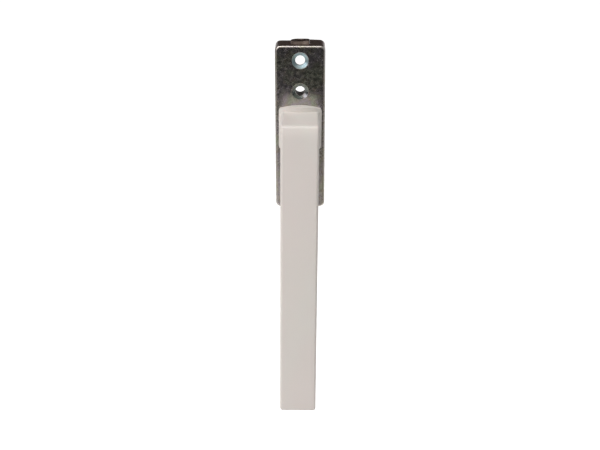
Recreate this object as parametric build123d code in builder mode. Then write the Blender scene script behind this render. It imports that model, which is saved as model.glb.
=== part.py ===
from build123d import *
import os
from math import atan, cos, pi, radians, sin, sqrt, tan

# Window handle with a drive-bar gear, in millimetres.
# The origin is on the turning axis, at the back plane that lies on the window frame.
# +X is to the right seen from the room, +Y goes into the window frame and +Z is up.
# Heights, written as ..._height, ..._back and ..._front, are measured forward from the back plane.

# Pressed housing
housing_width = 22.0
housing_length = 74.0
housing_depth = 11.5
housing_sheet = 2.0
housing_corner = 2.3
housing_bend = 1.1
housing_inner_corner = 0.5

# Mounting screws, a pair by the gear and a pair by the ends
screw_hole = 4.3
screw_countersink = 7.4
countersink_angle = 120.0
inner_screw_offset = 16.7
outer_screw_offset = 30.4
pillar_bore = 5.0

# Gear teeth
tooth_module = 0.9
pinion_teeth = 12
pressure_angle = 25.0
tooth_addendum = 0.8
tooth_dedendum = 1.0
tooth_thinning = 0.05
rack_teeth_above = 1
turn_range = 90.0

# Clearances
running_gap = 0.05
fit_gap = 0.05
end_gap = 0.06
bar_gap = 0.3
collar_gap = 0.3

# Gear case, back plate and rivets
web_thickness = 1.2
plate_thickness = 1.6
plate_length = 23.0
plate_corner = 1.5
rivet_offset = 8.7
rivet_shank = 2.4
rivet_head = 3.9
rivet_head_angle = 90.0

# Pinion, bush and washers
tail_journal = 6.6
front_journal = 10.0
bush_wall = 1.0
bush_flange = 16.0
bush_flange_thickness = 0.5
shank_square = 7.0
shank_length = 20.0
shank_chamfer = 0.5
shank_end_gap = 1.0
tail_floor = 0.5
thrust_washer_thickness = 0.5
thrust_washer_rim = 1.0
disc_spring_width = 2.1
disc_spring_thickness = 0.35
disc_spring_rise = 0.35

# Drive bars
bar_end_width = 8.2
bar_end_proud = 1.2
bar_end_corner = 1.3
bar_fork_gap = 0.35
bar_shoulder_radius = 1.0
rod_hole = 4.2
rod_hole_depth = 4.2

# Handle
collar_width = 18.9
collar_length = 21.4
collar_arch = 1.4
collar_rim = 1.4
collar_dome = 3.0
collar_corner = 1.2
collar_cut = 0.7
neck_half_height = 8.5
grip_front_height = 39.5
grip_top_width = 16.5
grip_tip_width = 16.3
grip_reach = 126.5
grip_top_thickness = 11.0
grip_tip_thickness = 9.0
grip_brow_set_back = 1.3
grip_brow_drop = 5.6
grip_brow_radius = 1.5
grip_edge = 1.2
finger_radius = 5.5
handle_play = 0.45

# Grub screw
grub_diameter = 5.0
grub_socket = 2.5
grub_socket_depth = 2.2
grub_chamfer = 0.5
grub_recess = 0.5

# Worked out from the sizes above
inner_half_width = housing_width / 2 - housing_sheet
face_back = housing_depth - housing_sheet
web_back = face_back - web_thickness
bar_back = plate_thickness + bar_gap
bar_front = web_back - bar_gap
bar_depth = bar_front - bar_back

pitch_radius = tooth_module * pinion_teeth / 2
tip_radius = pitch_radius + tooth_addendum * tooth_module
root_radius = pitch_radius - tooth_dedendum * tooth_module
base_radius = pitch_radius * cos(radians(pressure_angle))
tooth_pitch = pi * tooth_module
bar_travel = pitch_radius * radians(turn_range)

rack_tip = pitch_radius - tooth_addendum * tooth_module
rack_root = pitch_radius + tooth_dedendum * tooth_module
rack_teeth_below = round(bar_travel / tooth_pitch) + rack_teeth_above
rack_low = -(rack_teeth_below + 0.5) * tooth_pitch
rack_high = (rack_teeth_above + 0.5) * tooth_pitch
bar_outer = inner_half_width - bar_gap

pillar_half_width = rack_tip - bar_gap
pillar_start = tip_radius + bar_gap
pillar_end = inner_screw_offset + pillar_half_width
web_half_width = inner_half_width - fit_gap

fork_half_gap = screw_hole / 2 + bar_fork_gap
bar_tip = housing_length / 2 + bar_end_proud
shoulder_low = pillar_end + bar_gap
shoulder_high = housing_length / 2 - housing_sheet - bar_travel - bar_gap
notch_width = bar_end_width + 2 * end_gap
notch_depth = bar_front + bar_gap

thrust_washer_back = plate_thickness + running_gap
gear_back = thrust_washer_back + thrust_washer_thickness + running_gap
gear_front = web_back - 2 * running_gap
bush_inner = front_journal + 2 * running_gap
bush_outer = bush_inner + 2 * bush_wall
bush_front = housing_depth + bush_flange_thickness
disc_spring_inner = front_journal / 2 + running_gap
disc_spring_outer = disc_spring_inner + disc_spring_width
spring_front = bush_front + disc_spring_thickness + disc_spring_rise
shank_front = bush_front + shank_length
tail_end = tail_floor + 2 * running_gap

collar_back = housing_depth + collar_gap
collar_rim_front = collar_back + collar_rim
collar_front = collar_rim_front + collar_dome
collar_recess = bush_flange + 2 * bar_gap
recess_front = spring_front + running_gap
square_hole = shank_square + 2 * running_gap
grub_height = collar_front + grub_diameter / 2 + fit_gap


def at_height(height):
    """The drawing plane that faces the room, at this height in front of the back plane."""
    return Plane.XZ.offset(height)


def involute_point(radius, half_angle, side):
    """A point of a pinion tooth's flank, where half_angle is the tooth's half angle at the base circle."""
    roll = sqrt((radius / base_radius) ** 2 - 1)
    angle = side * (half_angle - (roll - atan(roll)))
    return radius * cos(angle), radius * sin(angle)


# Housing
# The bends, the countersinks, the bush hole, two rivet holes and a notch in each end wall.
with BuildPart() as housing:
    with BuildSketch(at_height(0)):
        RectangleRounded(housing_width, housing_length, housing_corner)
    extrude(amount=housing_depth)
    fillet(housing.faces().sort_by(Axis.Y)[0].edges(), housing_bend)
    with BuildSketch(at_height(0)):
        RectangleRounded(
            2 * inner_half_width,
            housing_length - 2 * housing_sheet,
            housing_inner_corner,
        )
    extrude(amount=face_back, mode=Mode.SUBTRACT)
    with BuildSketch(at_height(0)):
        Rectangle(notch_width, housing_length + 2 * housing_sheet)
    extrude(amount=notch_depth, mode=Mode.SUBTRACT)
    with Locations(at_height(housing_depth)):
        with Locations(
            (0, outer_screw_offset),
            (0, inner_screw_offset),
            (0, -inner_screw_offset),
            (0, -outer_screw_offset),
        ):
            CounterSinkHole(
                radius=screw_hole / 2,
                counter_sink_radius=screw_countersink / 2,
                depth=housing_sheet,
                counter_sink_angle=countersink_angle,
            )
        with Locations((0, rivet_offset), (0, -rivet_offset)):
            CounterSinkHole(
                radius=rivet_shank / 2 + fit_gap,
                counter_sink_radius=rivet_head / 2 + fit_gap,
                depth=housing_sheet,
                counter_sink_angle=rivet_head_angle,
            )
        Hole(radius=bush_outer / 2 + fit_gap, depth=housing_sheet)

# Gear case
# A web behind the housing's face carries two pillars, each bored for a screw and a rivet.
with BuildPart() as gear_case:
    with BuildSketch(at_height(web_back)):
        RectangleRounded(2 * web_half_width, 2 * pillar_end, housing_inner_corner)
    extrude(amount=web_thickness)
    for side in (1, -1):
        with BuildSketch(at_height(plate_thickness)):
            with Locations((0, side * (pillar_start + inner_screw_offset) / 2)):
                Rectangle(2 * pillar_half_width, inner_screw_offset - pillar_start)
            with Locations((0, side * inner_screw_offset)):
                Circle(pillar_half_width)
        extrude(amount=web_back - plate_thickness)
    with Locations(at_height(face_back)):
        with Locations((0, inner_screw_offset), (0, -inner_screw_offset)):
            Hole(radius=pillar_bore / 2, depth=housing_depth)
        with Locations((0, rivet_offset), (0, -rivet_offset)):
            Hole(radius=rivet_shank / 2 + fit_gap, depth=housing_depth)
        Hole(radius=front_journal / 2 + running_gap, depth=housing_depth)

# Back plate
# A blind recess in its front face carries the pinion's tail, so its back face is whole.
with BuildPart() as back_plate:
    with BuildSketch(at_height(0)):
        RectangleRounded(2 * web_half_width, plate_length, plate_corner)
    extrude(amount=plate_thickness)
    with Locations(at_height(plate_thickness)):
        Hole(radius=tail_journal / 2 + running_gap, depth=plate_thickness - tail_floor)
        with Locations((0, rivet_offset), (0, -rivet_offset)):
            Hole(radius=rivet_shank / 2 + fit_gap, depth=plate_thickness)

# Case rivets
# Each has a countersunk head in the housing's face and is peened flush with the back plane.
head_depth = (rivet_head - rivet_shank) / 2 / tan(radians(rivet_head_angle / 2))
with BuildPart() as case_rivets:
    for side in (1, -1):
        with BuildSketch(Plane.YZ):
            with Locations((0, side * rivet_offset)):
                Polygon(
                    (0, 0),
                    (0, rivet_shank / 2),
                    (head_depth - housing_depth, rivet_shank / 2),
                    (-housing_depth, rivet_head / 2),
                    (-housing_depth, 0),
                    align=None,
                )
        revolve(axis=Axis((0, 0, side * rivet_offset), (0, 1, 0)))

# Drive pinion
# One piece: tail journal, involute teeth, front journal and the square shank for the handle.
# A tooth space faces each rack, so both racks have a tooth on the turning axis's level.
base_half_angle = (pi * tooth_module / 4 - tooth_thinning) / pitch_radius
base_half_angle += tan(radians(pressure_angle)) - radians(pressure_angle)
flank_radii = [base_radius, (base_radius + tip_radius) / 2, tip_radius]
lower_flank = [involute_point(radius, base_half_angle, -1) for radius in flank_radii]
upper_flank = [involute_point(radius, base_half_angle, 1) for radius in flank_radii]
root_reach = root_radius / 2
with BuildSketch() as pinion_tooth:
    with BuildLine():
        ThreePointArc(*lower_flank)
        ThreePointArc(lower_flank[-1], (tip_radius, 0), upper_flank[-1])
        ThreePointArc(*upper_flank)
        Polyline(
            upper_flank[0],
            (root_reach * cos(base_half_angle), root_reach * sin(base_half_angle)),
            (root_reach * cos(base_half_angle), -root_reach * sin(base_half_angle)),
            lower_flank[0],
        )
    make_face()
with BuildPart() as drive_pinion:
    with BuildSketch(at_height(gear_back)):
        Circle(root_radius)
        with PolarLocations(0, pinion_teeth, start_angle=180 / pinion_teeth):
            add(pinion_tooth.sketch)
    extrude(amount=gear_front - gear_back)
    with BuildSketch(at_height(tail_end)):
        Circle(tail_journal / 2)
    extrude(amount=gear_back - tail_end)
    with BuildSketch(at_height(gear_front)):
        Circle(front_journal / 2)
    extrude(amount=bush_front - gear_front)
    with BuildSketch(at_height(bush_front)):
        Rectangle(shank_square, shank_square)
    extrude(amount=shank_length)
    shank_end = drive_pinion.faces().sort_by(Axis.Y)[0]
    chamfer(shank_end.edges(), shank_chamfer)

# Thrust washer between the pinion and the back plate
with BuildPart() as thrust_washer:
    with BuildSketch(at_height(thrust_washer_back)):
        Circle(tail_journal / 2 + running_gap + thrust_washer_rim)
        Circle(tail_journal / 2 + running_gap, mode=Mode.SUBTRACT)
    extrude(amount=thrust_washer_thickness)

# Front bush
with BuildPart() as front_bush:
    with BuildSketch(at_height(face_back)):
        Circle(bush_outer / 2)
    extrude(amount=housing_sheet)
    with BuildSketch(at_height(housing_depth)):
        Circle(bush_flange / 2)
    extrude(amount=bush_flange_thickness)
    with Locations(at_height(bush_front)):
        Hole(radius=bush_inner / 2, depth=housing_depth)

# Disc spring under the collar
with BuildPart() as disc_spring:
    with BuildSketch(Plane.YZ):
        Polygon(
            (-bush_front, disc_spring_outer),
            (-bush_front - disc_spring_rise, disc_spring_inner),
            (-spring_front, disc_spring_inner),
            (-bush_front - disc_spring_thickness, disc_spring_outer),
            align=None,
        )
    revolve(axis=Axis.Y)

# Upper drive bar
# A rack beside the pinion, an arm past the pillar, and a fork that straddles the outer screw.
bar_middle = (bar_back + bar_front) / 2
tooth_half = tooth_pitch / 4 - tooth_thinning
tooth_slope = tan(radians(pressure_angle))
tooth_tip_half = tooth_half - (pitch_radius - rack_tip) * tooth_slope
tooth_root_half = tooth_half + (rack_root - pitch_radius) * tooth_slope
with BuildPart() as upper_bar:
    with BuildSketch(at_height(bar_back)) as bar_outline:
        with BuildLine():
            Polyline(
                (-fork_half_gap, outer_screw_offset),
                (-fork_half_gap, shoulder_low),
                (-bar_end_width / 2, shoulder_low),
                (-bar_end_width / 2, bar_tip),
                (bar_end_width / 2, bar_tip),
                (bar_end_width / 2, shoulder_high),
                (bar_outer, shoulder_high),
                (bar_outer, rack_low),
                (rack_root, rack_low),
                (rack_root, rack_high),
                (rack_tip, rack_high),
                (rack_tip, shoulder_low),
                (fork_half_gap, shoulder_low),
                (fork_half_gap, outer_screw_offset),
            )
            ThreePointArc(
                (fork_half_gap, outer_screw_offset),
                (0, outer_screw_offset + fork_half_gap),
                (-fork_half_gap, outer_screw_offset),
            )
        make_face()
        outer_corners = bar_outline.vertices().filter_by(
            lambda corner: corner.X > bar_outer - fit_gap and corner.Y > rack_high
        )
        fillet(outer_corners, bar_shoulder_radius)
        for index in range(-rack_teeth_below, rack_teeth_above + 1):
            with Locations((0, index * tooth_pitch)):
                Polygon(
                    (rack_root, -tooth_root_half),
                    (rack_root, tooth_root_half),
                    (rack_tip, tooth_tip_half),
                    (rack_tip, -tooth_tip_half),
                    align=None,
                )
    extrude(amount=bar_depth)
    end_corners = upper_bar.edges().filter_by(Axis.Z).filter_by(
        lambda edge: abs(abs(edge.center().X) - bar_end_width / 2) < fit_gap
    )
    fillet(end_corners, bar_end_corner)
    with Locations(Plane.XY.offset(bar_tip)):
        with Locations((0, -bar_middle)):
            Hole(radius=rod_hole / 2, depth=rod_hole_depth)

# Lower drive bar, the same bar the other way up
with BuildPart() as lower_bar:
    add(upper_bar.part, rotation=(0, 180, 0))

# Handle, drawn upright
grip_back_top = grip_front_height - grip_top_thickness
grip_back_tip = grip_front_height - grip_tip_thickness
with BuildPart() as grip_blank:
    with BuildSketch(at_height(collar_back)):
        Polygon(
            (grip_top_width / 2, neck_half_height),
            (-grip_top_width / 2, neck_half_height),
            (-grip_tip_width / 2, -grip_reach),
            (grip_tip_width / 2, -grip_reach),
            align=None,
        )
    extrude(amount=grip_front_height - collar_back)
    with BuildSketch(Plane.YZ) as side_profile:
        with BuildLine():
            Polyline(
                (-grip_front_height, neck_half_height - grip_brow_drop),
                (-grip_front_height, -grip_reach),
                (-grip_back_tip, -grip_reach),
                (-grip_back_top, -neck_half_height),
                (-collar_back, -neck_half_height),
                (-collar_back, neck_half_height),
                (grip_brow_set_back - grip_front_height, neck_half_height),
            )
            TangentArc(
                (-grip_front_height, neck_half_height - grip_brow_drop),
                (grip_brow_set_back - grip_front_height, neck_half_height),
                tangent=(0, 1),
            )
        make_face()
        brow = side_profile.vertices().group_by(Axis.Y)[-1].sort_by(Axis.X)[0]
        fillet(brow, grip_brow_radius)
        finger_corner = side_profile.vertices().filter_by(
            lambda corner: abs(corner.X + grip_back_top) < fit_gap
        )
        fillet(finger_corner, finger_radius)
    extrude(amount=housing_width, both=True, mode=Mode.INTERSECT)
    side_faces = grip_blank.faces().sort_by(Axis.X)
    side_edges = side_faces[0].edges() + side_faces[-1].edges()
    flank_edges = side_edges.filter_by(lambda edge: edge.center().Y < -collar_back - fit_gap)
    tip_edges = grip_blank.faces().sort_by(Axis.Z)[0].edges().filter_by(Axis.X)
    fillet(flank_edges + tip_edges, grip_edge)

with BuildPart() as collar_blank:
    with BuildSketch(at_height(collar_back)) as collar_outline:
        with BuildLine():
            side_top = collar_length / 2 - collar_arch
            side_low = side_top - collar_cut
            low_end = collar_length / 2 - collar_cut
            Line((collar_width / 2, -side_low), (collar_width / 2, side_top))
            ThreePointArc(
                (collar_width / 2, side_top),
                (0, collar_length / 2),
                (-collar_width / 2, side_top),
            )
            Line((-collar_width / 2, side_top), (-collar_width / 2, -side_low))
            ThreePointArc(
                (-collar_width / 2, -side_low),
                (0, -low_end),
                (collar_width / 2, -side_low),
            )
        make_face()
        fillet(collar_outline.vertices(), collar_corner)
    extrude(amount=collar_front - collar_back)
    with BuildSketch(Plane.XY):
        with BuildLine():
            Polyline(
                (-collar_width / 2, -collar_rim_front),
                (-collar_width / 2, -collar_back),
                (collar_width / 2, -collar_back),
                (collar_width / 2, -collar_rim_front),
            )
            ThreePointArc(
                (collar_width / 2, -collar_rim_front),
                (0, -collar_front),
                (-collar_width / 2, -collar_rim_front),
            )
        make_face()
    extrude(amount=collar_length, both=True, mode=Mode.INTERSECT)

with BuildPart() as handle_blank:
    add(grip_blank.part)
    add(collar_blank.part)
    with BuildSketch(at_height(collar_back)):
        Circle(collar_recess / 2)
    extrude(amount=recess_front - collar_back, mode=Mode.SUBTRACT)
    with BuildSketch(at_height(recess_front)):
        Rectangle(square_hole, square_hole)
    extrude(amount=shank_front + shank_end_gap - recess_front, mode=Mode.SUBTRACT)
    with BuildSketch(Plane.XY.offset(-neck_half_height)):
        with Locations((0, -grub_height)):
            Circle(grub_diameter / 2 + fit_gap)
    extrude(amount=neck_half_height - shank_square / 2, mode=Mode.SUBTRACT)

with BuildPart() as grub_blank:
    with BuildSketch(Plane.XY.offset(grub_recess - neck_half_height)):
        with Locations((0, -grub_height)):
            Circle(grub_diameter / 2)
    extrude(amount=neck_half_height - grub_recess - shank_square / 2 - fit_gap)
    chamfer(grub_blank.edges().filter_by(GeomType.CIRCLE), grub_chamfer)
    with BuildSketch(Plane.XY.offset(grub_recess - neck_half_height)):
        with Locations((0, -grub_height)):
            RegularPolygon(grub_socket / 2, 6, major_radius=False)
    extrude(amount=grub_socket_depth, mode=Mode.SUBTRACT)

# The handle hangs a little off the upright by its play on the shank
with BuildPart() as handle:
    add(handle_blank.part, rotation=(0, handle_play, 0))

with BuildPart() as grub_screw:
    add(grub_blank.part, rotation=(0, handle_play, 0))

housing.part.label = "housing"
gear_case.part.label = "gear_case"
back_plate.part.label = "back_plate"
case_rivets.part.label = "case_rivets"
drive_pinion.part.label = "drive_pinion"
thrust_washer.part.label = "thrust_washer"
front_bush.part.label = "front_bush"
disc_spring.part.label = "disc_spring"
upper_bar.part.label = "upper_bar"
lower_bar.part.label = "lower_bar"
handle.part.label = "handle"
grub_screw.part.label = "grub_screw"

os.makedirs("parts", exist_ok=True)
export_step(housing.part, "parts/housing.step")
export_step(gear_case.part, "parts/gear_case.step")
export_step(back_plate.part, "parts/back_plate.step")
export_step(case_rivets.part, "parts/case_rivets.step")
export_step(drive_pinion.part, "parts/drive_pinion.step")
export_step(thrust_washer.part, "parts/thrust_washer.step")
export_step(front_bush.part, "parts/front_bush.step")
export_step(disc_spring.part, "parts/disc_spring.step")
export_step(upper_bar.part, "parts/upper_bar.step")
export_step(lower_bar.part, "parts/lower_bar.step")
export_step(handle.part, "parts/handle.step")
export_step(grub_screw.part, "parts/grub_screw.step")
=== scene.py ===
import logging
from dataclasses import dataclass
from enum import Enum
from math import asin, cos, pi, radians, sin, sqrt

import bmesh
import bpy
from mathutils import Matrix, Vector


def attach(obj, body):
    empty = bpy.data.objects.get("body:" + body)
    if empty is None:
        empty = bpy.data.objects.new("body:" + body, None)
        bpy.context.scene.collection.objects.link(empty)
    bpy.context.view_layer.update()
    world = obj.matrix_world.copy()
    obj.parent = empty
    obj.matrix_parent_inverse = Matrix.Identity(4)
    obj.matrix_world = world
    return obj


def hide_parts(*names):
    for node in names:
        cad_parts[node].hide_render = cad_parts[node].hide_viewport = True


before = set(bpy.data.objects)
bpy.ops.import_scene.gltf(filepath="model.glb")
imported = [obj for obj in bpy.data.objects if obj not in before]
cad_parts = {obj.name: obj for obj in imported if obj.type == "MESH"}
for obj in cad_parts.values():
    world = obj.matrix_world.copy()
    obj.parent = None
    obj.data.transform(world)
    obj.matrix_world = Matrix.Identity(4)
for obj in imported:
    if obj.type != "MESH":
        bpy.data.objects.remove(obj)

Point = tuple[float, float, float]
Flat = tuple[float, float]
Colour = tuple[float, float, float]
Socket = bpy.types.NodeSocket

MM = 0.001  # in metres; the lengths below are in millimetres
WELD = 0.0005  # points nearer than this are one
OVER = 1.0  # how far a cutter reaches past what it cuts
LIFT = 0.2  # how far a hole's cutter stands out of the face
NEAR = 0.1  # how near a face counts as on it
TOUCH = 0.01  # how near the collar's flat sides count as on them
EDGE_BREAK = 0.06  # the width of a broken sheet edge
SHARP_ANGLE = radians(32)
MIX_FIRST, MIX_SECOND, MIX_RESULT = 6, 7, 2  # the Mix node's colour sockets
LOG = logging.getLogger("window_handle")


class Body(Enum):
    """The moving bodies that a piece can ride on."""

    CASE = "case"
    HANDLE = "handle"
    UPPER_BAR = "upper_bar"
    LOWER_BAR = "lower_bar"


class Slot(Enum):
    """The record's material slots."""

    PLATED_STEEL = "plated_steel"
    CAST_ZINC = "cast_zinc"
    BAR_STEEL = "bar_steel"
    SPRING_STEEL = "spring_steel"
    BLACK_STEEL = "black_steel"
    BUSH_PLASTIC = "bush_plastic"
    WHITE_PLASTIC = "white_plastic"


class Cut(Enum):
    """What one solid does to another."""

    TAKE = "DIFFERENCE"
    KEEP = "INTERSECT"
    JOIN = "UNION"


class Graph:
    """The node tree of one procedural material, read in object coordinates."""

    def __init__(self, name: str) -> None:
        """Starts a material with one shader.

        Args:
            name: the material's name.
        """
        self.material = bpy.data.materials.new(name)
        self.material.use_nodes = True
        self.tree = self.material.node_tree
        self.shader = self.tree.nodes["Principled BSDF"]
        self.place = self.tree.nodes.new("ShaderNodeTexCoord").outputs["Object"]

    def feed(self, socket: Socket, value: Socket | float | Colour) -> None:
        """Links a socket to another one, or sets its value.

        Args:
            socket: the input.
            value: an output, a number or a colour.
        """
        if isinstance(value, bpy.types.NodeSocket):
            self.tree.links.new(value, socket)
        elif isinstance(value, tuple) and socket.type == "RGBA":
            socket.default_value = (*value, 1.0)
        else:
            socket.default_value = value

    def constant(self, **values: float | Colour) -> None:
        """Sets values on the shader's own sockets.

        Args:
            values: socket names, with underscores for spaces, and their values.
        """
        for name, value in values.items():
            self.feed(self.shader.inputs[name.replace("_", " ")], value)

    def turned(self, scale: Point, turn: float = 0.0) -> Socket:
        """Turns the object coordinates and stretches a pattern on them.

        Args:
            scale: how many times longer the pattern is on each turned axis.
            turn: the turn about the axis that faces the room, in degrees.

        Returns:
            The new coordinates.
        """
        node = self.tree.nodes.new("ShaderNodeMapping")
        node.vector_type = "TEXTURE"
        self.tree.links.new(self.place, node.inputs["Vector"])
        node.inputs["Scale"].default_value = scale
        node.inputs["Rotation"].default_value = (0.0, radians(turn), 0.0)
        return node.outputs["Vector"]

    def noise(self, scale: float, detail: float = 3.0, vector: Socket | None = None,
              twist: float = 0.0) -> Socket:
        """Adds a noise.

        Args:
            scale: features in a metre.
            detail: how many finer layers it has.
            vector: the coordinates, or None for the object's own.
            twist: its distortion.

        Returns:
            The noise, from 0 to 1.
        """
        node = self.tree.nodes.new("ShaderNodeTexNoise")
        self.tree.links.new(vector or self.place, node.inputs["Vector"])
        node.inputs["Scale"].default_value = scale
        node.inputs["Detail"].default_value = detail
        node.inputs["Distortion"].default_value = twist
        return node.outputs["Fac"]

    def ramp(self, value: Socket, *stops: tuple[float, Colour]) -> Socket:
        """Colours a value.

        Args:
            value: the value, from 0 to 1.
            stops: places and colours in rising order.

        Returns:
            The colour.
        """
        node = self.tree.nodes.new("ShaderNodeValToRGB")
        self.tree.links.new(value, node.inputs["Fac"])
        row = node.color_ramp.elements
        while len(row) < len(stops):
            row.new(0.5)
        for element, (place, colour) in zip(row, stops):
            element.position = place
            element.color = (*colour, 1.0)
        return node.outputs["Color"]

    def span(self, value: Socket, low: float, high: float, to_low: float = 0.0,
             to_high: float = 1.0) -> Socket:
        """Maps a range of a value on another range, with the ends held.

        Args:
            value: the value.
            low: the range's low end.
            high: the range's high end.
            to_low: what the low end becomes.
            to_high: what the high end becomes.

        Returns:
            The new value.
        """
        node = self.tree.nodes.new("ShaderNodeMapRange")
        for name, number in (("From Min", low), ("From Max", high), ("To Min", to_low),
                             ("To Max", to_high)):
            node.inputs[name].default_value = number
        self.tree.links.new(value, node.inputs["Value"])
        return node.outputs["Result"]

    def math(self, operation: str, first: Socket | float, second: Socket | float) -> Socket:
        """Joins two values by a sum.

        Args:
            operation: the name of the sum, such as ADD.
            first: the first value.
            second: the second value.

        Returns:
            The result.
        """
        node = self.tree.nodes.new("ShaderNodeMath")
        node.operation = operation
        self.feed(node.inputs[0], first)
        self.feed(node.inputs[1], second)
        return node.outputs["Value"]

    def mix(self, share: Socket | float, first: Socket | Colour, second: Socket | Colour) -> Socket:
        """Mixes two colours.

        Args:
            share: how much of the second one there is.
            first: the first colour.
            second: the second colour.

        Returns:
            The mixed colour.
        """
        node = self.tree.nodes.new("ShaderNodeMix")
        node.data_type = "RGBA"
        self.feed(node.inputs["Factor"], share)
        self.feed(node.inputs[MIX_FIRST], first)
        self.feed(node.inputs[MIX_SECOND], second)
        return node.outputs[MIX_RESULT]

    def relief(self, height: Socket, strength: float, depth: float,
               under: Socket | None = None) -> Socket:
        """Makes a bump.

        Args:
            height: the height, from 0 to 1.
            strength: the bump's strength.
            depth: the height's full range, in metres.
            under: the normal of the bump below this one.

        Returns:
            The normal.
        """
        node = self.tree.nodes.new("ShaderNodeBump")
        node.inputs["Strength"].default_value = strength
        node.inputs["Distance"].default_value = depth
        self.tree.links.new(height, node.inputs["Height"])
        if under:
            self.tree.links.new(under, node.inputs["Normal"])
        return node.outputs["Normal"]

    def dress(self, colour: Socket, rough: Socket, normal: Socket) -> bpy.types.Material:
        """Joins the patterns to the shader.

        Args:
            colour: the base colour.
            rough: the roughness.
            normal: the bumped normal.

        Returns:
            The finished material.
        """
        self.feed(self.shader.inputs["Base Color"], colour)
        self.feed(self.shader.inputs["Roughness"], rough)
        self.feed(self.shader.inputs["Normal"], normal)
        return self.material


@dataclass(frozen=True)
class PlatedSteel:
    """Zinc plate on rolled sheet: a clouded film of faint colours, grain and handling scratches."""

    name: str = "zinc_plate"
    base: Colour = (0.500, 0.490, 0.458)
    olive: Colour = (0.478, 0.538, 0.435)
    plum: Colour = (0.518, 0.480, 0.552)
    rust: Colour = (0.540, 0.440, 0.330)
    grain: Colour = (0.285, 0.268, 0.242)
    scratch: Colour = (0.80, 0.78, 0.72)
    rough: float = 0.20
    rust_share: float = 0.55
    grain_share: float = 0.50
    scratch_share: float = 0.55

    def material(self) -> bpy.types.Material:
        """Mixes one plated finish.

        Returns:
            The material.
        """
        graph = Graph(self.name)
        graph.constant(Metallic=1.0)
        clouds = graph.noise(150.0, detail=2.0, twist=0.6)
        spots = graph.noise(420.0, detail=2.0, twist=0.3)
        film = graph.ramp(clouds, (0.30, self.olive), (0.45, self.base), (0.56, self.plum),
                          (0.70, self.base))
        film = graph.mix(graph.span(spots, 0.56, 0.72, to_high=self.rust_share), film, self.rust)
        rolled = graph.turned(scale=(0.9, 1.0, 2.2), turn=24.0)
        grain = graph.span(graph.noise(2300.0, detail=4.0, vector=rolled), 0.38, 0.70,
                           to_high=self.grain_share)
        film = graph.mix(grain, film, self.grain)
        runs = []
        for stretch, turn, least, share in ((14.0, 38.0, 0.66, 1.0), (12.0, -42.0, 0.68, 0.7)):
            along = graph.turned(scale=(0.5, 1.0, stretch), turn=turn)
            marks = graph.noise(2600.0, detail=2.0, vector=along)
            runs.append(graph.span(marks, least, least + 0.08, to_high=share))
        lines = graph.math("ADD", *runs)
        film = graph.mix(graph.math("MULTIPLY", lines, self.scratch_share), film, self.scratch)
        rough = graph.span(graph.noise(700.0, detail=4.0), 0.3, 0.7,
                           to_low=self.rough - 0.04, to_high=self.rough + 0.10)
        peel = graph.relief(graph.noise(2200.0, detail=3.0), strength=0.07, depth=0.000015)
        normal = graph.relief(lines, strength=0.15, depth=0.00003, under=peel)
        return graph.dress(film, rough, normal)


@dataclass(frozen=True)
class BarSteel:
    """Dark drawn steel with an oil film and brown stain."""

    name: str = "sheared_steel"
    dark: Colour = (0.035, 0.025, 0.022)
    brown: Colour = (0.110, 0.080, 0.068)
    pale: Colour = (0.240, 0.200, 0.178)
    low_rough: float = 0.34
    high_rough: float = 0.50

    def material(self) -> bpy.types.Material:
        """Mixes the finish.

        Returns:
            The material.
        """
        graph = Graph(self.name)
        graph.constant(Metallic=0.85)
        stain = graph.noise(260.0, detail=5.0, twist=0.8)
        colour = graph.ramp(stain, (0.34, self.dark), (0.55, self.brown), (0.74, self.pale))
        draw = graph.noise(1800.0, detail=3.0, vector=graph.turned(scale=(1.0, 1.0, 20.0)))
        rough = graph.span(draw, 0.3, 0.7, to_low=self.low_rough, to_high=self.high_rough)
        return graph.dress(colour, rough, graph.relief(draw, strength=0.25, depth=0.00004))


@dataclass(frozen=True)
class CastMetal:
    """Die-cast zinc: a soft grey skin with flow marks."""

    name: str = "cast_zinc"
    pale: Colour = (0.27, 0.27, 0.26)
    dark: Colour = (0.13, 0.13, 0.13)
    low_rough: float = 0.42
    high_rough: float = 0.58

    def material(self) -> bpy.types.Material:
        """Mixes the finish.

        Returns:
            The material.
        """
        graph = Graph(self.name)
        graph.constant(Metallic=0.85)
        flow = graph.noise(220.0, detail=5.0, vector=graph.turned(scale=(1.0, 1.0, 2.5)), twist=1.2)
        colour = graph.ramp(flow, (0.32, self.dark), (0.62, self.pale))
        skin = graph.noise(1500.0, detail=4.0)
        rough = graph.span(flow, 0.3, 0.7, to_low=self.low_rough, to_high=self.high_rough)
        return graph.dress(colour, rough, graph.relief(skin, strength=0.35, depth=0.00004))


@dataclass(frozen=True)
class TurnedSteel:
    """A small steel part with turning marks, black or blued."""

    name: str
    dark: Colour
    pale: Colour
    low_rough: float = 0.25
    high_rough: float = 0.42

    def material(self) -> bpy.types.Material:
        """Mixes the finish.

        Returns:
            The material.
        """
        graph = Graph(self.name)
        graph.constant(Metallic=0.95)
        tint = graph.noise(500.0, detail=4.0, twist=0.5)
        colour = graph.ramp(tint, (0.35, self.dark), (0.65, self.pale))
        rough = graph.span(graph.noise(1200.0, detail=3.0), 0.3, 0.7,
                           to_low=self.low_rough, to_high=self.high_rough)
        marks = graph.noise(2200.0, detail=2.0)
        return graph.dress(colour, rough, graph.relief(marks, strength=0.15, depth=0.00003))


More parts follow.
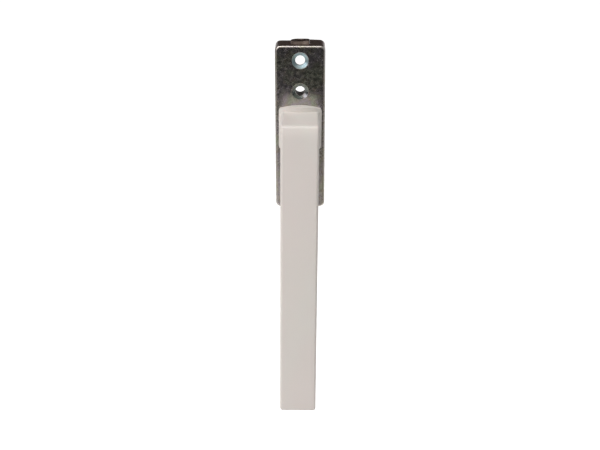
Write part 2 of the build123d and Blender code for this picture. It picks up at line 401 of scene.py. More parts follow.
@dataclass(frozen=True)
class MouldedPlastic:
    """A moulded plastic with a fine spark-eroded skin and a slight unevenness of colour."""

    name: str
    base: Colour
    shade: Colour
    low_rough: float = 0.34
    high_rough: float = 0.46
    milkiness: float = 0.02

    def material(self) -> bpy.types.Material:
        """Mixes the finish.

        Returns:
            The material.
        """
        graph = Graph(self.name)
        graph.constant(IOR=1.49, Subsurface_Weight=self.milkiness, Subsurface_Scale=0.002)
        wide = graph.noise(45.0, detail=3.0, vector=graph.turned(scale=(1.0, 1.0, 2.2)), twist=0.4)
        specks = graph.noise(2600.0, detail=2.0)
        colour = graph.mix(graph.span(wide, 0.35, 0.68, to_high=0.8), self.base, self.shade)
        colour = graph.mix(graph.span(specks, 0.66, 0.80, to_high=0.25), colour, self.shade)
        rubbed = graph.noise(75.0, detail=4.0, twist=0.7)
        rough = graph.span(rubbed, 0.35, 0.65, to_low=self.low_rough, to_high=self.high_rough)
        skin = graph.relief(graph.noise(1900.0, detail=3.0), strength=0.10, depth=0.00004)
        waves = graph.noise(70.0, detail=2.0)
        normal = graph.relief(waves, strength=0.06, depth=0.0004, under=skin)
        return graph.dress(colour, rough, normal)


class Finish(Enum):
    """Every finish of the handle."""

    PLATE = PlatedSteel()
    BLUE_PLATE = PlatedSteel(
        "zinc_blue", (0.31, 0.42, 0.45), (0.27, 0.36, 0.33), (0.40, 0.52, 0.57),
        (0.36, 0.36, 0.27), (0.17, 0.23, 0.25), (0.74, 0.80, 0.82), rough=0.37)
    GREY_PLATE = PlatedSteel(
        "zinc_grey", (0.25, 0.26, 0.27), (0.22, 0.27, 0.23), (0.28, 0.25, 0.30),
        (0.24, 0.19, 0.17), (0.10, 0.10, 0.10), (0.70, 0.72, 0.70), rough=0.24)
    # A darker, browner copy of the plate: bare sheared steel in the screw bores, painted shade on
    # the end walls and in the notch.
    BARE_EDGE = PlatedSteel(
        "zinc_edge_and_shade", (0.300, 0.250, 0.215), (0.270, 0.245, 0.195), (0.300, 0.215, 0.215),
        (0.330, 0.220, 0.150), (0.120, 0.090, 0.080), (0.50, 0.45, 0.40), rough=0.30)
    RUBBED_PLATE = PlatedSteel(
        "zinc_bend", (0.470, 0.450, 0.400), (0.450, 0.475, 0.385), (0.470, 0.425, 0.430),
        (0.500, 0.420, 0.320), (0.285, 0.268, 0.242), (0.70, 0.68, 0.62), rough=0.27)
    BAR = BarSteel()
    # A lighter copy of the bar steel for the faces that face the room and the back: partly the
    # drawn faces' own tone, partly painted light on the bar's front.
    BAR_FACE = BarSteel("drawn_steel_lit", (0.150, 0.118, 0.102), (0.360, 0.295, 0.260),
                        (0.560, 0.500, 0.455), low_rough=0.50, high_rough=0.66)
    CAST = CastMetal()
    SPRING = TurnedSteel("blued_steel", (0.10, 0.12, 0.19), (0.30, 0.31, 0.34))
    BLACK = TurnedSteel("black_oxide", (0.012, 0.012, 0.013), (0.05, 0.048, 0.046),
                        low_rough=0.35, high_rough=0.55)
    WHITE = MouldedPlastic("white_plastic", (0.668, 0.610, 0.580), (0.655, 0.632, 0.590))
    ACETAL = MouldedPlastic("natural_acetal", (0.74, 0.72, 0.66), (0.68, 0.66, 0.60),
                            low_rough=0.30, high_rough=0.40, milkiness=0.05)


def placed(name: str, bm: bmesh.types.BMesh,
           materials: list[bpy.types.Material] | None = None) -> bpy.types.Object:
    """Puts a mesh in the scene.

    Args:
        name: the object's name.
        bm: its mesh.
        materials: its materials, in the order of its faces' numbers.

    Returns:
        The object.
    """
    mesh = bpy.data.meshes.new(name)
    bm.to_mesh(mesh)
    for material in materials or []:
        mesh.materials.append(material)
    thing = bpy.data.objects.new(name, mesh)
    bpy.context.scene.collection.objects.link(thing)
    return thing


class Blank:
    """A solid under construction, in millimetres in the handle's own frame."""

    def __init__(self) -> None:
        """Starts an empty solid."""
        self.bm = bmesh.new()

    @staticmethod
    def raised(corners: list[Point], push: Point,
               rounds: dict[int, tuple[float, int]] | None = None) -> "Blank":
        """Raises a prism on a flat outline.

        Args:
            corners: the outline's corners.
            push: the way and length that the outline is pushed.
            rounds: for a right-angled corner's number, its radius and its steps.

        Returns:
            The closed prism.
        """
        blank = Blank()
        corner_verts = [blank.bm.verts.new(corner) for corner in corners]
        blank.bm.faces.new(corner_verts)
        for number, (radius, steps) in (rounds or {}).items():
            bmesh.ops.bevel(blank.bm, geom=[corner_verts[number]], offset=radius,
                            affect="VERTICES", segments=steps, profile=0.5, material=-1)
        raised = bmesh.ops.extrude_face_region(blank.bm, geom=list(blank.bm.faces))
        moved = [item for item in raised["geom"] if isinstance(item, bmesh.types.BMVert)]
        bmesh.ops.translate(blank.bm, vec=push, verts=moved)
        return blank.closed()

    @staticmethod
    def plate(size: Flat, corner: float, low: float, high: float, steps: int = 8) -> "Blank":
        """Raises a rounded plate that faces the room, centred on the turning axis.

        Args:
            size: its width and length.
            corner: its corner radius.
            low: the height of its back face.
            high: the height of its front face.
            steps: how many steps round a corner.

        Returns:
            The closed plate.
        """
        half_x, half_z = size[0] / 2, size[1] / 2
        corners = [(x * half_x, -low, z * half_z) for x, z in ((-1, -1), (1, -1), (1, 1), (-1, 1))]
        rounds = {number: (corner, steps) for number in range(4)} if corner else None
        return Blank.raised(corners, (0.0, low - high, 0.0), rounds)

    @staticmethod
    def turned(points: list[Point], centre: Point, axis: Point, steps: int) -> "Blank":
        """Turns a solid from a run of points.

        Args:
            points: the run, from one end of the solid to the other.
            centre: a point on the axis.
            axis: the axis's direction.
            steps: how many steps a turn has.

        Returns:
            The closed solid.
        """
        blank = Blank()
        verts = [blank.bm.verts.new(point) for point in points]
        edges = [blank.bm.edges.new(pair) for pair in zip(verts, verts[1:])]
        bmesh.ops.spin(blank.bm, geom=verts + edges, cent=centre, axis=axis, dvec=(0.0, 0.0, 0.0),
                       angle=2 * pi, steps=steps, use_merge=True, use_duplicate=False)
        return blank.closed()

    @staticmethod
    def spun(profile: list[Flat], up: float = 0.0, steps: int = 64) -> "Blank":
        """Turns a solid about an axis that faces the room.

        Args:
            profile: radii and heights, from one end to the other.
            up: the axis's place up the housing.
            steps: how many steps a turn has.

        Returns:
            The closed solid.
        """
        points = [(radius, -height, up) for radius, height in profile]
        return Blank.turned(points, (0.0, 0.0, up), (0.0, 1.0, 0.0), steps)

    @staticmethod
    def peg(radius: float, low: float, high: float, steps: int = 64) -> "Blank":
        """Turns a plain round peg on the turning axis, from one height to another."""
        return Blank.spun([(0.0, low), (radius, low), (radius, high), (0.0, high)], steps=steps)

    def closed(self) -> "Blank":
        """Merges double points and turns every face outwards.

        Returns:
            The blank itself.
        """
        bmesh.ops.remove_doubles(self.bm, verts=list(self.bm.verts), dist=WELD)
        bmesh.ops.recalc_face_normals(self.bm, faces=list(self.bm.faces))
        return self

    def softened(self, width: float, steps: int, edges: list[bmesh.types.BMEdge]) -> "Blank":
        """Bevels some edges.

        Args:
            width: the bevel's width.
            steps: how many steps it has.
            edges: the edges.

        Returns:
            The blank itself.
        """
        bmesh.ops.bevel(self.bm, geom=edges, offset=width, affect="EDGES", segments=steps,
                        profile=0.5, material=-1, clamp_overlap=True)
        return self

    def sharp_edges(self, least: float = 30.0) -> list[bmesh.types.BMEdge]:
        """Lists the edges that turn by at least this many degrees."""
        return [edge for edge in self.bm.edges
                if len(edge.link_faces) == 2 and edge.calc_face_angle(0.0) > radians(least)]

    def add(self, other: "Blank") -> None:
        """Takes another blank's faces into this one.

        Args:
            other: the other blank, which is used up.
        """
        carrier = bpy.data.meshes.new("carrier")
        other.bm.to_mesh(carrier)
        other.bm.free()
        self.bm.from_mesh(carrier)
        bpy.data.meshes.remove(carrier)

    def worked(self, cut: Cut, tool: "Blank") -> "Blank":
        """Cuts this solid with another one, joins them or keeps what they share.

        Args:
            cut: what is done.
            tool: the other solid, which is used up.

        Returns:
            The blank itself.
        """
        stock, cutter = placed("stock", self.bm), placed("cutter", tool.bm)
        tool.bm.free()
        modifier = stock.modifiers.new("work", "BOOLEAN")
        modifier.operation = cut.value
        modifier.solver = "EXACT"
        modifier.object = cutter
        graph = bpy.context.evaluated_depsgraph_get()
        result = bpy.data.meshes.new_from_object(stock.evaluated_get(graph))
        self.bm.clear()
        self.bm.from_mesh(result)
        for thing in (stock, cutter):
            mesh = thing.data
            bpy.data.objects.remove(thing)
            bpy.data.meshes.remove(mesh)
        bpy.data.meshes.remove(result)
        bmesh.ops.remove_doubles(self.bm, verts=list(self.bm.verts), dist=WELD)
        return self


def arc_points(start: Flat, middle: Flat, end: Flat, steps: int) -> list[Flat]:
    """Divides the arc through three points.

    Args:
        start: the arc's start.
        middle: a point on it, level with its crown.
        end: the arc's end.
        steps: how many runs it has.

    Returns:
        The points, with both ends.
    """
    half = sqrt((end[0] - start[0]) ** 2 + (end[1] - start[1]) ** 2) / 2
    chord = Vector(((start[0] + end[0]) / 2, (start[1] + end[1]) / 2))
    rise = Vector(middle) - chord
    radius = (half ** 2 + rise.length ** 2) / (2 * rise.length)
    centre = Vector(middle) - rise.normalized() * radius
    first = Vector(start) - centre
    turn = first.angle_signed(Vector(end) - centre)
    points = []
    for index in range(steps + 1):
        point = Matrix.Rotation(-turn * index / steps, 2) @ first + centre
        points.append((point.x, point.y))
    return points


@dataclass
class Assembly:
    """Some pieces of the handle that are made and dressed together."""

    materials: dict[Finish, bpy.types.Material]

    def dress(self, blank: Blank, name: str, body: Body, slot: Slot, nodes: tuple[str, ...],
              finishes: tuple[Finish, ...], edge: float = 0.0) -> None:
        """Turns a solid into a finished piece in metres.

        Args:
            blank: the solid, which is used up.
            name: the piece's name.
            body: the body that it rides on.
            slot: the record's slot; not used.
            nodes: the CAD nodes that it stands for.
            finishes: its finishes, in the order of its faces' numbers.
            edge: the width of a last small rounding of its edges, or 0.
        """
        bmesh.ops.scale(blank.bm, vec=(MM, MM, MM), verts=list(blank.bm.verts))
        piece = placed(name, blank.bm, [self.materials[finish] for finish in finishes])
        blank.bm.free()
        if edge:
            bevel = piece.modifiers.new("edge", "BEVEL")
            bevel.width = edge * MM
            bevel.segments = 2
            bevel.limit_method = "ANGLE"
            bevel.angle_limit = SHARP_ANGLE
        piece.data.shade_smooth()
        piece.data.set_sharp_from_angle(angle=SHARP_ANGLE)
        weighted = piece.modifiers.new("normals", "WEIGHTED_NORMAL")
        weighted.keep_sharp = True
        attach(piece, body.value)
        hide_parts(*nodes)
        LOG.info("%s: %d faces, rides on %s", name, len(piece.data.polygons), body.value)


@dataclass
class Housing(Assembly):
    """The pressed steel cover."""

    width: float = 22.0
    length: float = 74.0
    depth: float = 11.5
    sheet: float = 2.0
    corner: float = 2.3
    bend: float = 1.1
    inner_corner: float = 0.5
    screw_radius: float = 2.15
    screw_slope: float = 0.577
    sink_radius: float = 3.7
    screws: tuple[float, ...] = (30.4, 16.7, -16.7, -30.4)
    rivets: tuple[float, ...] = (8.7, -8.7)
    rivet_radius: float = 1.25
    rivet_sink: float = 2.0
    bush_radius: float = 6.1
    notch_width: float = 8.32
    notch_depth: float = 8.3
    lug_lean: float = 0.45
    lug_hold: float = 0.6
    sink_break: float = 0.10
    sink_roll: float = 0.02
    sink_tilt: float = 0.95
    bend_tilt: float = 0.995
    finishes: tuple[Finish, ...] = (Finish.PLATE, Finish.BLUE_PLATE, Finish.BARE_EDGE,
                                    Finish.GREY_PLATE, Finish.RUBBED_PLATE)

    def blank(self) -> Blank:
        """Builds the folded cover with its bends.

        Returns:
            The cover, without its holes.
        """
        cover = Blank.plate((self.width, self.length), self.corner, 0.0, self.depth, steps=6)
        front = [edge for edge in cover.sharp_edges(least=60.0)
                 if all(abs(vert.co.y + self.depth) < WELD for vert in edge.verts)]
        cover.softened(self.bend, steps=8, edges=front)
        inside = Blank.plate((self.width - 2 * self.sheet, self.length - 2 * self.sheet),
                             self.inner_corner, -OVER, self.depth - self.sheet, steps=3)
        return cover.worked(Cut.TAKE, inside)

    def sunk(self, height: float, hole: float, sink: float, slope: float) -> Blank:
        """Builds the cutter of a countersunk hole with a slightly broken edge.

        Args:
            height: the hole's place up the housing.
            hole: its radius.
            sink: the countersink's radius.
            slope: how deep the countersink goes for each step inwards.

        Returns:
            The cutter.
        """
        face, end = self.depth, self.depth - self.sheet - OVER
        profile = [(0.0, end), (hole, end), (hole, face - (sink - hole) * slope),
                   (sink - self.sink_break, face - self.sink_break * slope),
                   (sink + self.sink_roll, face - self.sink_roll),
                   (sink + 2 * self.sink_roll, face + LIFT), (0.0, face + LIFT)]
        return Blank.spun(profile, height)

    def build(self) -> None:
        """Builds and dresses the cover."""
        cover = self.blank()
        cover.worked(Cut.TAKE, Blank.plate((self.notch_width, self.length + 2 * self.sheet), 0.0,
                                           -OVER, self.notch_depth))
        holes = Blank()
        for height in self.screws:
            holes.add(self.sunk(height, self.screw_radius, self.sink_radius, self.screw_slope))
        for height in self.rivets:
            holes.add(self.sunk(height, self.rivet_radius, self.rivet_sink, 1.0))
        holes.add(Blank.peg(self.bush_radius, self.depth - self.sheet - OVER, self.depth + LIFT))
        cover.worked(Cut.TAKE, holes)
        self.lean_lug(cover)
        for face in cover.bm.faces:
            face.material_index = self.finishes.index(self.finish_of(face))
        self.dress(cover, "pressed_housing", Body.CASE, Slot.PLATED_STEEL, ("housing",),
                   self.finishes, EDGE_BREAK)

    def lean_lug(self, cover: Blank) -> None:
        """Bends the upper end wall's right lug a little outwards, most at its free edge.

        Args:
            cover: the housing's blank.
        """
        notch = self.notch_width / 2
        for vert in cover.bm.verts:
            if vert.co.z > self.length / 2 - self.sheet - NEAR and vert.co.x > notch - NEAR:
                free = 1.0 + vert.co.y / (self.depth - self.sheet)
                across = (vert.co.x - notch) / (self.width / 2 - notch)
                lean = self.lug_lean * max(free, 0.0)
                vert.co.z += lean * (1.0 - self.lug_hold * max(across, 0.0))

    def finish_of(self, face: bmesh.types.BMFace) -> Finish:
        """Picks a face's finish: film in front, rubbed bends, blue or grey sinks, and a darker,
        browner copy of the plate that is bare steel in the bores and painted shade on the end walls
        and in the notch.

        Args:
            face: the face.

        Returns:
            Its finish.
        """
        middle, facing = face.calc_center_median(), abs(face.normal.y)
        for height in self.screws:
            away = sqrt(middle.x ** 2 + (middle.z - height) ** 2)
            if (away < self.sink_radius + LIFT and facing < self.sink_tilt
                    and -middle.y < self.depth):
                # The bore takes the darker copy: bare sheared steel, partly painted shade.
                if away < self.screw_radius + EDGE_BREAK:
                    return Finish.BARE_EDGE
                return Finish.BLUE_PLATE if abs(height) > self.length / 3 else Finish.GREY_PLATE
        bend = self.depth - self.bend
        # The end walls and the notch walls take the darker copy as painted shade.
        if abs(middle.z) > self.length / 2 - self.sheet - NEAR and -middle.y < bend:
            return Finish.BARE_EDGE
        if -middle.y > bend and facing < self.bend_tilt:
            return Finish.RUBBED_PLATE
        return Finish.PLATE


@dataclass
class DriveBar(Assembly):
    """A drive bar: its rack, its arm, its fork and its tapped end."""

    back: float = 1.9
    front: float = 8.0
    half_end: float = 4.1
    tip: float = 38.2
    end_corner: float = 1.3
    front_corner: float = 0.4
    worn_corner: float = 3.1
    worn_from: float = 33.2
    rod_radius: float = 2.1
    rod_depth: float = 4.2
    thread_pitch: float = 0.8
    thread_depth: float = 0.42
    thread_start: float = 0.3
    thread_mouth: float = 0.12
    drill_point: float = 0.9
    fork_half: float = 2.5
    fork_steps: int = 12
    screw: float = 30.4
    shoulder_low: float = 21.38
    shoulder_high: float = 26.22
    outer: float = 8.7
    shoulder_radius: float = 1.0
    rack_root: float = 6.3
    rack_tip: float = 4.68
    pitch: float = 0.9 * pi
    pitch_radius: float = 5.4
    slope: float = 0.4663
    thinning: float = 0.05
    teeth_below: int = 4
    teeth_above: int = 1
    face_tilt: float = 0.9

    def outline(self) -> list[Flat]:
        """Lists the bar's corners as seen from the room, with its rack teeth and its fork.

        Returns:
            The corners, across and up.
        """
        low = -(self.teeth_below + 0.5) * self.pitch
        high = (self.teeth_above + 0.5) * self.pitch
        tooth = self.pitch / 4 - self.thinning
        tip_half = tooth - (self.pitch_radius - self.rack_tip) * self.slope
        root_half = tooth + (self.rack_root - self.pitch_radius) * self.slope
        corners = [(self.half_end, self.tip), (self.half_end, self.shoulder_high),
                   (self.outer, self.shoulder_high), (self.outer, low), (self.rack_root, low)]
        for index in range(-self.teeth_below, self.teeth_above + 1):
            level = index * self.pitch
            corners += [(self.rack_root, level - root_half), (self.rack_tip, level - tip_half),
                        (self.rack_tip, level + tip_half), (self.rack_root, level + root_half)]
        corners += [(self.rack_root, high), (self.rack_tip, high),
                    (self.rack_tip, self.shoulder_low), (self.fork_half, self.shoulder_low),
                    (self.fork_half, self.screw)]
        turns = [pi * step / self.fork_steps for step in range(1, self.fork_steps)]
        corners += [(self.fork_half * cos(turn), self.screw + self.fork_half * sin(turn))
                    for turn in turns]
        corners += [(-self.fork_half, self.screw), (-self.fork_half, self.shoulder_low),
                    (-self.half_end, self.shoulder_low), (-self.half_end, self.tip)]
        return corners

    def solid(self) -> Blank:
        """Builds the bar without its tapped hole.

        Returns:
            The bar.
        """
        corners = [(across, -self.back, up) for across, up in self.outline()]
        bar = Blank.raised(corners, (0.0, self.back - self.front, 0.0),
                           {2: (self.shoulder_radius, 5)})
        for height, radius in ((self.front, self.front_corner), (self.back, self.end_corner)):
            for side in (-self.half_end, self.half_end):
                upright = [edge for edge in bar.bm.edges
                           if all(abs(vert.co.x - side) < WELD and abs(vert.co.y + height) < WELD
                                  for vert in edge.verts)]
                bar.softened(radius, steps=6, edges=upright)
        self.wear(bar)
        return bar

    def wear(self, bar: Blank) -> None:
        """Rounds the tip's back left corner further, fading out above the fork.

        Args:
            bar: the bar's blank.
        """
        whole = [*bar.bm.verts, *bar.bm.edges, *bar.bm.faces]
        bmesh.ops.bisect_plane(bar.bm, geom=whole, dist=WELD, plane_co=(0.0, 0.0, self.worn_from),
                               plane_no=(0.0, 0.0, 1.0))
        corner = Vector((-self.half_end, -self.back, self.tip))
        reach = self.end_corner + WELD
        rounded = [vert for vert in bar.bm.verts if vert.co.z > self.tip - WELD
                   and max(abs(step) for step in (vert.co - corner)) < reach]
        growth = self.worn_corner / self.end_corner
        bmesh.ops.scale(bar.bm, vec=(growth, growth, 1.0), verts=rounded,
                        space=Matrix.Translation(-corner))

    def tapped(self) -> Blank:
        """Builds the cutter of the tapped hole, with its thread as a run of ridges.

        Returns:
            The cutter.
        """
        middle = (self.back + self.front) / 2
        root = self.rod_radius + self.thread_depth
        mouth = root + self.thread_mouth
        profile = [(0.0, LIFT), (mouth, LIFT), (mouth, 0.0)]
        depth = self.thread_start
        while depth + self.thread_pitch < self.rod_depth:
            profile += [(self.rod_radius, -depth - self.thread_pitch / 4),
                        (root, -depth - self.thread_pitch * 0.75)]
            depth += self.thread_pitch
        profile += [(self.rod_radius, -depth), (self.rod_radius, -self.rod_depth),
                    (0.0, -self.rod_depth - self.drill_point)]
        points = [(radius, -middle, self.tip + up) for radius, up in profile]
        return Blank.turned(points, (0.0, -middle, 0.0), (0.0, 0.0, 1.0), steps=40)

    def build(self) -> None:
        """Builds the upper bar and the lower bar, whose nodes are named like their bodies."""
        for name, body, turn in (("upper_drive_bar", Body.UPPER_BAR, 0.0),
                                 ("lower_drive_bar", Body.LOWER_BAR, pi)):
            bar = self.solid().worked(Cut.TAKE, self.tapped())
            bmesh.ops.rotate(bar.bm, cent=(0.0, 0.0, 0.0), matrix=Matrix.Rotation(turn, 3, "Y"),
                             verts=list(bar.bm.verts))
            for face in bar.bm.faces:
                # The faces that face the room and the back take the lighter copy, partly painted
                # light.
                face.material_index = int(abs(face.normal.y) > self.face_tilt)
            self.dress(bar, name, body, Slot.BAR_STEEL, (body.value,),
                       (Finish.BAR, Finish.BAR_FACE), EDGE_BREAK)


@dataclass
class Grip(Assembly):
    """The white handle: collar, neck and flat grip in one moulding."""

    collar_width: float = 18.9
    collar_length: float = 21.4
    collar_arch: float = 1.4
    collar_back: float = 11.8
    rim_front: float = 13.2
    collar_front: float = 16.2
    collar_corner: float = 1.2
    collar_cut: float = 0.7
    collar_edge: float = 0.4
    rim_band: float = 0.5
    arch_steps: int = 24
    dome_steps: int = 32
    neck_half: float = 8.5
    front: float = 39.5
    top_width: float = 16.5
    tip_width: float = 16.3
    reach: float = 126.5
    back_top: float = 28.5
    back_tip: float = 30.5
    brow: float = 0.94
    brow_back: float = 1.3
    brow_drop: float = 5.6
    brow_shares: tuple[float, ...] = (1.0, 0.75, 0.625, 0.5, 0.375, 0.25, 0.125, 0.0)
    edge: float = 1.2
    finger: float = 5.5
    recess_radius: float = 8.3
    recess_front: float = 12.75
    square: float = 7.1
    bore_front: float = 33.0
    grub_height: float = 18.8
    grub_radius: float = 2.55
    grub_stop: float = 2.5
    play: float = 0.45

    def collar(self) -> Blank:
        """Builds the arched and domed collar.

        Returns:
            The collar.
        """
        half, side = self.collar_width / 2, self.collar_length / 2 - self.collar_arch
        top = arc_points((half, side), (0.0, self.collar_length / 2), (-half, side),
                         self.arch_steps)
        low = side - self.collar_cut
        bottom = arc_points((-half, -low), (0.0, self.collar_cut - self.collar_length / 2),
                            (half, -low), self.arch_steps)
        outline = [(x, -self.collar_back, z) for x, z in top + bottom]
        ends = (0, self.arch_steps, self.arch_steps + 1, 2 * self.arch_steps + 1)
        collar = Blank.raised(outline, (0.0, self.collar_back - self.collar_front - OVER, 0.0),
                              {number: (self.collar_corner, 5) for number in ends})
        dome = arc_points((half, -self.rim_front), (0.0, -self.collar_front),
                          (-half, -self.rim_front), self.dome_steps)
        past = half + OVER
        dome += [(-past, -self.rim_front), (-past, 0.0), (past, 0.0), (past, -self.rim_front)]
        collar.worked(Cut.KEEP, Blank.raised([(x, y, -self.collar_length) for x, y in dome],
                                             (0.0, 0.0, 2 * self.collar_length)))
        front = [edge for edge in collar.sharp_edges(least=35.0)
                 if min(-vert.co.y for vert in edge.verts) > self.rim_front - self.rim_band
                 and not all(abs(vert.co.x) > half - TOUCH
                             and abs(-vert.co.y - self.rim_front) > self.rim_band
                             for vert in edge.verts)]
        return collar.softened(self.collar_edge, steps=4, edges=front)

    def stem(self) -> Blank:
        """Builds the neck and the flat grip with their rounded edges.

        Returns:
            The neck and the grip.
        """
        half = self.top_width / 2
        reach = (self.brow_drop ** 2 + self.brow_back ** 2) / (2 * self.brow_back)
        turns = [asin(self.brow_drop / reach) * share for share in self.brow_shares]
        rolled = [(half, reach * (1 - cos(turn)) - self.front,
                   self.neck_half - self.brow_drop + reach * sin(turn)) for turn in turns]
        corners = [(half, -self.collar_back, self.neck_half), *rolled,
                   (half, -self.front, -self.reach), (half, -self.back_tip, -self.reach),
                   (half, -self.back_top, -self.neck_half),
                   (half, -self.collar_back, -self.neck_half)]
        stem = Blank.raised(corners, (-self.top_width, 0.0, 0.0),
                            {1: (self.brow, 10), len(rolled) + 3: (self.finger, 12)})
        for vert in stem.bm.verts:
            share = (self.neck_half - vert.co.z) / (self.neck_half + self.reach)
            vert.co.x *= 1 + share * (self.tip_width / self.top_width - 1)
        edges = [edge for edge in stem.sharp_edges()
                 if max(-vert.co.y for vert in edge.verts) > self.collar_back + NEAR]
        return stem.softened(self.edge, steps=6, edges=edges)

    def build(self) -> None:
        """Builds and dresses the handle."""
        handle = self.stem().worked(Cut.JOIN, self.collar())
        handle.worked(Cut.TAKE, Blank.peg(self.recess_radius, self.collar_back - OVER,
                                          self.recess_front))
        handle.worked(Cut.TAKE, Blank.plate((self.square, self.square), 0.0,
                                            self.recess_front - OVER / 2, self.bore_front))
        bore = Blank.peg(self.grub_radius, 0.0, self.neck_half - self.grub_stop, steps=40)
        bmesh.ops.transform(bore.bm, verts=list(bore.bm.verts), matrix=Matrix.Translation(
            (0.0, -self.grub_height, -self.neck_half - OVER)) @ Matrix.Rotation(-pi / 2, 4, "X"))
        handle.worked(Cut.TAKE, bore)
        bmesh.ops.rotate(handle.bm, cent=(0.0, 0.0, 0.0), verts=list(handle.bm.verts),
                         matrix=Matrix.Rotation(radians(self.play), 3, "Y"))
        self.dress(handle, "grip_moulding", Body.HANDLE, Slot.WHITE_PLASTIC, ("handle",),
                   (Finish.WHITE,))


@dataclass
class Rivets(Assembly):
    """The two rivets of the gear case, with slightly domed peened heads."""

    places: tuple[float, ...] = (8.7, -8.7)
    shank: float = 1.2
    head: float = 1.95
    depth: float = 11.5
    tail_dome: tuple[Flat, ...] = ((0.0, -0.05), (0.7, -0.03), (1.0, 0.08))
    head_edge: float = 0.12
    head_flat: float = 0.75

    def build(self) -> None:
        """Builds both rivets as one piece."""
        profile = [(self.shank * share, height) for share, height in self.tail_dome]
        profile += [(self.shank, self.depth - (self.head - self.shank)),
                    (self.head, self.depth - self.head_edge),
                    (self.head * self.head_flat, self.depth), (0.0, self.depth)]
        rivets = Blank()
        for place in self.places:
            rivets.add(Blank.spun(profile, place, steps=40))
        self.dress(rivets, "case_rivet_pair", Body.CASE, Slot.PLATED_STEEL, ("case_rivets",),
                   (Finish.PLATE,))


@dataclass
class InnerWorks(Assembly):
    """The gear's hidden nodes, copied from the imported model, merged and dressed."""

    flat_within: float = 0.5

    def build(self) -> None:
        """Copies and dresses each node."""
        rows = (("gear_case", Body.CASE, Slot.CAST_ZINC, Finish.CAST),
                ("back_plate", Body.CASE, Slot.PLATED_STEEL, Finish.PLATE),
                ("drive_pinion", Body.HANDLE, Slot.CAST_ZINC, Finish.CAST),
                ("thrust_washer", Body.CASE, Slot.BUSH_PLASTIC, Finish.ACETAL),
                ("front_bush", Body.CASE, Slot.BUSH_PLASTIC, Finish.ACETAL),
                ("disc_spring", Body.CASE, Slot.SPRING_STEEL, Finish.SPRING),
                ("grub_screw", Body.HANDLE, Slot.BLACK_STEEL, Finish.BLACK))
        for node, body, slot, finish in rows:
            blank = Blank()
            blank.bm.from_mesh(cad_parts[node].data)
            bmesh.ops.scale(blank.bm, vec=(1 / MM, 1 / MM, 1 / MM), verts=list(blank.bm.verts))
            bmesh.ops.remove_doubles(blank.bm, verts=list(blank.bm.verts), dist=WELD)
            bmesh.ops.dissolve_limit(blank.bm, angle_limit=radians(self.flat_within),
                                     verts=list(blank.bm.verts), edges=list(blank.bm.edges))
            for face in blank.bm.faces:
                face.material_index = 0
            self.dress(blank, node + "_part", body, slot, (node,), (finish,))


class Hang(Enum):
    """How a flag hangs: its tilt from level and its turn about the upright, in degrees."""

    LEVEL = (0.0, 0.0)
    ACROSS = (90.0, 0.0)
    ALONG = (90.0, 90.0)


@dataclass(frozen=True)
class Flag:
    """A plane that only metal reflects or, where it shades, that only holds back the fill light."""

    name: str
    size: Flat
    place: Point
    hang: Hang
    colour: Colour
    shades: bool = False


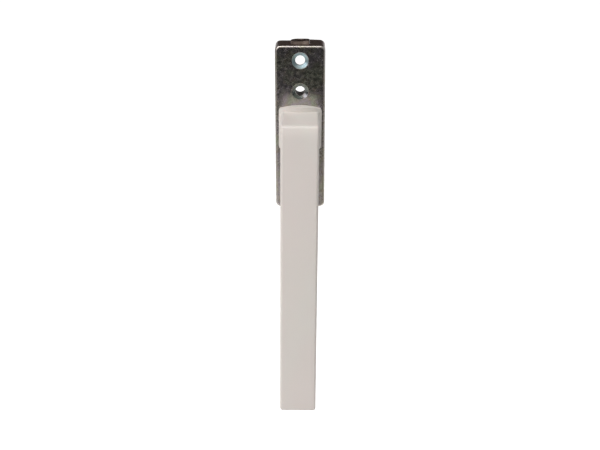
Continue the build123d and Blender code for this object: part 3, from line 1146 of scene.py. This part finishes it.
@dataclass
class Studio:
    """The pale floor, the surround, the soft lamps, the flags and the camera, in metres."""

    floor_level: float = -0.160
    floor_size: float = 6.0
    floor_glow: float = 0.60
    world_fill: float = 0.42
    lamp_aim: Point = (0.0, -0.02, -0.04)
    eye: Point = (0.00214, -0.52536, 0.14488)
    eye_down: float = 20.36
    eye_left: float = 0.245
    lens: float = 71.94
    flags: tuple[Flag, ...] = (
        Flag("front_flag", (1.60, 1.06), (0.0, -0.45, -0.40), Hang.ACROSS, (0.022, 0.022, 0.021)),
        Flag("right_shade", (1.00, 0.80), (0.24, 0.03, -0.05), Hang.ALONG, (0.20, 0.20, 0.20),
             shades=True),
        Flag("right_flag", (1.20, 0.90), (0.36, 0.38, -0.05), Hang.ALONG, (0.58, 0.60, 0.60)),
        Flag("low_right_flag", (0.60, 0.50), (0.312, -0.35, -0.155), Hang.LEVEL,
             (0.45, 0.41, 0.35)),
        Flag("low_left_flag", (0.60, 0.50), (-0.288, -0.35, -0.155), Hang.LEVEL,
             (0.88, 0.85, 0.80)),
        Flag("left_flag", (1.05, 0.90), (-0.42, 0.275, -0.05), Hang.ALONG, (0.30, 0.29, 0.27)),
        Flag("high_front_flag", (1.20, 0.60), (0.26, -0.47, 0.44), Hang.ACROSS,
             (0.26, 0.25, 0.23)),
        Flag("top_flag", (2.40, 1.40), (0.0, 0.58, 1.0), Hang.LEVEL, (0.13, 0.12, 0.11)),
        Flag("back_flag", (1.80, 0.60), (0.0, 0.60, 0.36), Hang.ACROSS, (0.06, 0.048, 0.044)))

    def floor(self) -> None:
        """Lays the pale floor, which is white to the camera but keeps a soft shadow."""
        bm = bmesh.new()
        bmesh.ops.create_grid(bm, x_segments=2, y_segments=2, size=self.floor_size / 2,
                              matrix=Matrix.Translation((0.0, 0.0, self.floor_level)))
        graph = Graph("pale_floor")
        graph.constant(Roughness=0.9, Specular_IOR_Level=0.1, Emission_Color=(1.0, 1.0, 1.0))
        tone = graph.ramp(graph.noise(3.0, detail=2.0), (0.3, (0.90, 0.90, 0.90)),
                          (0.7, (0.92, 0.92, 0.92)))
        graph.feed(graph.shader.inputs["Base Color"], tone)
        glow = graph.math("MULTIPLY", self.eye_rays(graph.tree), self.floor_glow)
        graph.feed(graph.shader.inputs["Emission Strength"], glow)
        placed("studio_floor", bm, [graph.material])
        bm.free()

    @staticmethod
    def eye_rays(tree: bpy.types.NodeTree) -> Socket:
        """Tells the rays that show a surface to the camera from those that only light others.

        Args:
            tree: the node tree that asks.

        Returns:
            1 for camera, glossy and transmission rays, and 0 for the rest.
        """
        path = tree.nodes.new("ShaderNodeLightPath")
        eye = path.outputs["Is Camera Ray"]
        for name in ("Is Glossy Ray", "Is Transmission Ray"):
            either = tree.nodes.new("ShaderNodeMath")
            either.operation = "MAXIMUM"
            tree.links.new(eye, either.inputs[0])
            tree.links.new(path.outputs[name], either.inputs[1])
            eye = either.outputs["Value"]
        return eye

    def hang(self, flag: Flag) -> None:
        """Hangs one flag.

        Args:
            flag: the flag.
        """
        tilt, turn = flag.hang.value
        place = (Matrix.Translation(flag.place) @ Matrix.Rotation(radians(turn), 4, "Z")
                 @ Matrix.Rotation(radians(tilt), 4, "X"))
        bm = bmesh.new()
        bmesh.ops.create_grid(bm, x_segments=1, y_segments=1, size=0.5,
                              matrix=place @ Matrix.Diagonal((*flag.size, 1.0, 1.0)))
        graph = Graph(flag.name)
        graph.constant(Base_Color=(0.0, 0.0, 0.0), Roughness=1.0, Specular_IOR_Level=0.0,
                       Emission_Color=flag.colour, Emission_Strength=1.0)
        thing = placed(flag.name, bm, [graph.material])
        bm.free()
        for ray in ("camera", "shadow", "transmission", "volume_scatter"):
            setattr(thing, "visible_" + ray, False)
        thing.visible_diffuse = flag.shades
        thing.visible_glossy = not flag.shades

    def lamp(self, name: str, place: Point, size: Flat, power: float,
             colour: Colour = (1.0, 1.0, 1.0)) -> None:
        """Hangs a soft lamp that faces the handle.

        Args:
            name: its name.
            place: where it hangs, in metres.
            size: its width and height in metres.
            power: its power in watts.
            colour: its colour.
        """
        light = bpy.data.lights.new(name, "AREA")
        light.shape = "RECTANGLE"
        light.size, light.size_y = size
        light.energy = power
        light.color = colour
        lamp = bpy.data.objects.new(name, light)
        lamp.location = place
        aim = Vector(self.lamp_aim) - Vector(place)
        lamp.rotation_euler = aim.to_track_quat("-Z", "Y").to_euler()
        bpy.context.scene.collection.objects.link(lamp)

    def world(self) -> None:
        """Sets a white surround for the eye and a plain grey one for the fill light."""
        world = bpy.data.worlds.new("surround")
        bpy.context.scene.world = world
        world.use_nodes = True
        tree = world.node_tree
        back = tree.nodes["Background"]
        back.inputs["Color"].default_value = (1.0, 1.0, 1.0, 1.0)
        strength = tree.nodes.new("ShaderNodeMapRange")
        strength.inputs["To Min"].default_value = self.world_fill
        tree.links.new(self.eye_rays(tree), strength.inputs["Value"])
        tree.links.new(strength.outputs["Result"], back.inputs["Strength"])

    def camera(self) -> None:
        """Sets the camera at the photograph's viewing angle."""
        lens = bpy.data.cameras.new("view")
        lens.sensor_fit = "HORIZONTAL"
        lens.lens = self.lens
        lens.clip_start = 0.01
        lens.clip_end = 50.0
        camera = bpy.data.objects.new("view", lens)
        camera.location = self.eye
        camera.rotation_euler = (radians(90.0 - self.eye_down), 0.0, radians(self.eye_left))
        bpy.context.scene.collection.objects.link(camera)
        bpy.context.scene.camera = camera

    def build(self) -> None:
        """Sets up the whole studio."""
        bpy.context.scene.view_settings.view_transform = "Standard"
        self.camera()
        self.floor()
        self.world()
        self.lamp("top", (-0.20, -0.40, 0.78), (1.10, 0.42), 6.3, (1.0, 0.985, 0.96))
        self.lamp("left", (-0.65, -0.60, 0.42), (0.50, 0.50), 1.9)
        for flag in self.flags:
            self.hang(flag)


def main() -> None:
    """Builds the handle and its studio."""
    logging.basicConfig(level=logging.INFO, format="%(name)s %(message)s")
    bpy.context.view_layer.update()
    Studio().build()
    materials = {finish: finish.value.material() for finish in Finish}
    for assembly in (Housing, DriveBar, Grip, Rivets, InnerWorks):
        assembly(materials).build()


if __name__ == "__main__":
    main()
